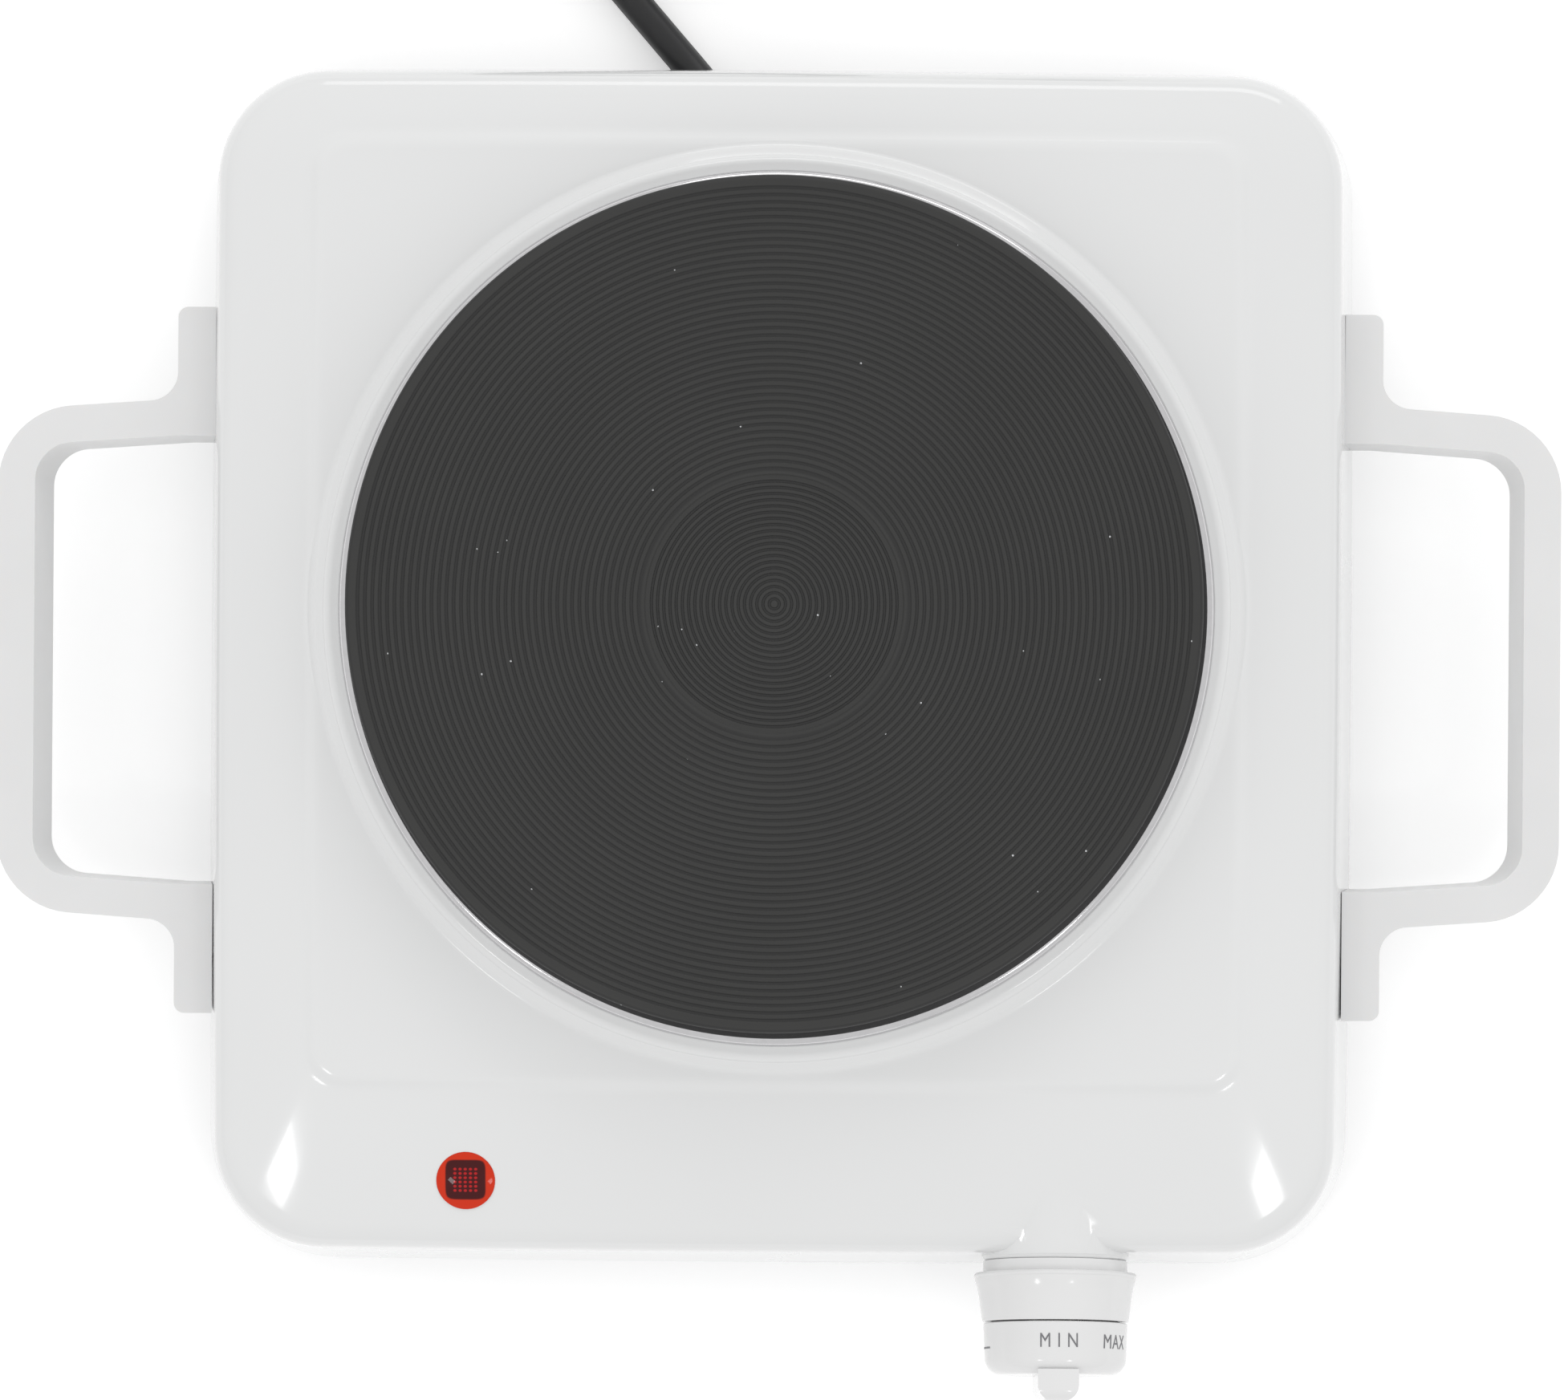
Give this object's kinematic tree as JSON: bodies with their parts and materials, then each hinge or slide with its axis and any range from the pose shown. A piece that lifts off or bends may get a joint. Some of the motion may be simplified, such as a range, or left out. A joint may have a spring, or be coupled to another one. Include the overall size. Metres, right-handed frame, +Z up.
{
  "type": "electric hot plate",
  "caption": "Portable single hot plate with a round grooved iron plate, white rounded-square housing, side grip handles, front heat knob and pilot lamp.",
  "frame": {"origin": "middle of the footprint over handles, knob and housing, on the table the feet stand on", "axes": "+Z up, -Y towards the knob, +X to the right as seen from the knob's side"},
  "size_m": [0.3496, 0.4751, 0.077],
  "materials": {
    "white_enamel": "gloss",
    "galvanised_steel": "satin",
    "base_steel": "satin",
    "foot_rubber": "matt",
    "zinc_screw": "satin",
    "ring_steel": "polished",
    "plate_iron": "matt",
    "magnesia": "matt",
    "resistance_wire": "dark satin",
    "steatite": "satin",
    "white_plastic": "gloss",
    "handle_plastic": "satin",
    "red_lens": "clear red",
    "neon_glass": "clear",
    "spring_bronze": "satin",
    "black_plastic": "satin",
    "black_rubber": "matt",
    "brown_wire": "satin",
    "blue_wire": "satin",
    "green_yellow_wire": "satin",
    "glass_fibre": "matt",
    "nickel": "polished"
  },
  "bodies": {
    "hob": {"housing_cover": "white_enamel", "corner_brackets": "galvanised_steel", "base_plate": "base_steel", "foot_front_left": "foot_rubber", "foot_front_right": "foot_rubber", "foot_back_left": "foot_rubber", "foot_back_right": "foot_rubber", "foot_screws": "zinc_screw", "trim_ring": "ring_steel", "hotplate": "plate_iron", "element_fill_inner": "magnesia", "element_fill_outer": "magnesia", "heating_coil_inner": "resistance_wire", "heating_coil_outer": "resistance_wire", "element_cover": "galvanised_steel", "terminal_block": "steatite", "element_terminals": "nickel", "centre_stud": "zinc_screw", "clamp_strap": "galvanised_steel", "clamp_washer": "zinc_screw", "clamp_nut": "zinc_screw", "thermal_fuse": "steatite", "fuse_clip": "galvanised_steel", "thermostat_body": "steatite", "thermostat_bushing": "spring_bronze", "bushing_nut": "spring_bronze", "bimetal_strip": "spring_bronze", "contact_spring": "spring_bronze", "thermostat_tabs": "nickel", "knob_bezel": "white_plastic", "lamp_lens": "red_lens", "neon_bulb": "neon_glass", "lamp_clip": "galvanised_steel", "handle_left": "handle_plastic", "handle_right": "handle_plastic", "handle_screws": "zinc_screw", "strain_bushing": "black_plastic", "cord_clamp": "black_plastic", "clamp_screws": "zinc_screw", "inner_cord_end": "black_rubber", "live_wire": "brown_wire", "neutral_wire": "blue_wire", "earth_wire": "green_yellow_wire", "element_lead": "glass_fibre", "lamp_leads": "glass_fibre", "earth_screw": "zinc_screw", "power_cord": "black_rubber", "cord_coil": "black_rubber", "coil_tie": "black_plastic", "plug_tail": "black_rubber", "plug_body": "black_plastic", "plug_pins": "nickel"},
    "knob": {"knob": "white_plastic", "knob_spring_clip": "zinc_screw", "thermostat_shaft": "zinc_screw"},
    "adjuster": {"adjuster_pin": "steatite"}
  },
  "joints": [
    {"name": "knob_turn", "type": "hinge", "parent": "hob", "child": "knob", "pos_m": [0.0627, -0.11855, 0.043], "axis": [0, 0.9836, -0.1805], "range_deg": [0, 306]},
    {"name": "adjuster_slide", "type": "slide", "parent": "hob", "child": "adjuster", "axis": [0, 0.9836, -0.1805], "range_m": [0, 0.0006]}
  ],
  "couplings": [
    {"joint": "adjuster_slide", "follows": "knob_turn", "m_per_rad": 0.00011223}
  ]
}
